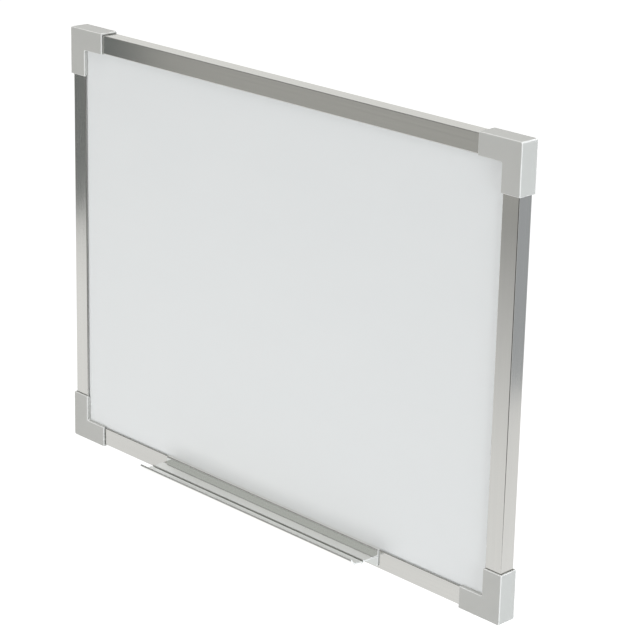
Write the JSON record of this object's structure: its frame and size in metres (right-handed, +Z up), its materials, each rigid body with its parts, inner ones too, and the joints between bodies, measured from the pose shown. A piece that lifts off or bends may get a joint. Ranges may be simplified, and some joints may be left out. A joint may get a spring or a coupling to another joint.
{
  "type": "wall-hung magnetic whiteboard",
  "caption": "Magnetic dry-wipe board in an extruded aluminium frame with moulded corner caps, a pen tray hooked on the lower rail that slides along it, and wall hangers that slide behind the upper rail.",
  "frame": {"origin": "middle of the rectangle of four wall-screw holes, on the wall's face", "axes": "+X to the reader's right along the board, +Y into the wall, +Z up"},
  "size_m": [0.61, 0.0574, 0.45],
  "materials": {
    "writing_lacquer": "glossy white dry-wipe lacquer on steel",
    "core_fibreboard": "raw fibreboard, seen only at its edges",
    "backing_steel": "dull zinc-coated steel sheet",
    "rail_aluminium": "satin anodised extrusion with fine lengthwise lines",
    "cap_plastic": "matt light grey moulding",
    "key_plastic": "black glass-filled moulding",
    "pad_rubber": "dark matt rubber",
    "screw_steel": "bright zinc-plated",
    "tray_aluminium": "satin anodised extrusion with sawn ends",
    "hanger_steel": "zinc-plated pressed steel"
  },
  "bodies": {
    "board": {"writing_sheet": "writing_lacquer", "core_board": "core_fibreboard", "backing_sheet": "backing_steel", "top_rail": "rail_aluminium", "bottom_rail": "rail_aluminium", "left_rail": "rail_aluminium", "right_rail": "rail_aluminium", "top_left_cap": "cap_plastic", "top_right_cap": "cap_plastic", "bottom_left_cap": "cap_plastic", "bottom_right_cap": "cap_plastic", "top_left_key": "key_plastic", "top_right_key": "key_plastic", "bottom_left_key": "key_plastic", "bottom_right_key": "key_plastic", "top_left_pad": "pad_rubber", "top_right_pad": "pad_rubber", "bottom_left_pad": "pad_rubber", "bottom_right_pad": "pad_rubber", "cap_screws": "screw_steel"},
    "tray": {"pen_tray": "tray_aluminium"},
    "hanger_l": {"left_hanger": "hanger_steel"},
    "hanger_r": {"right_hanger": "hanger_steel"}
  },
  "joints": [
    {"name": "tray_slide", "type": "slide", "parent": "board", "child": "tray", "axis": [1, 0, 0], "range_m": [-0.102, 0.102]},
    {"name": "left_hanger_slide", "type": "slide", "parent": "board", "child": "hanger_l", "axis": [1, 0, 0], "range_m": [-0.033, 0.17]},
    {"name": "right_hanger_slide", "type": "slide", "parent": "board", "child": "hanger_r", "axis": [1, 0, 0], "range_m": [-0.17, 0.033]}
  ]
}
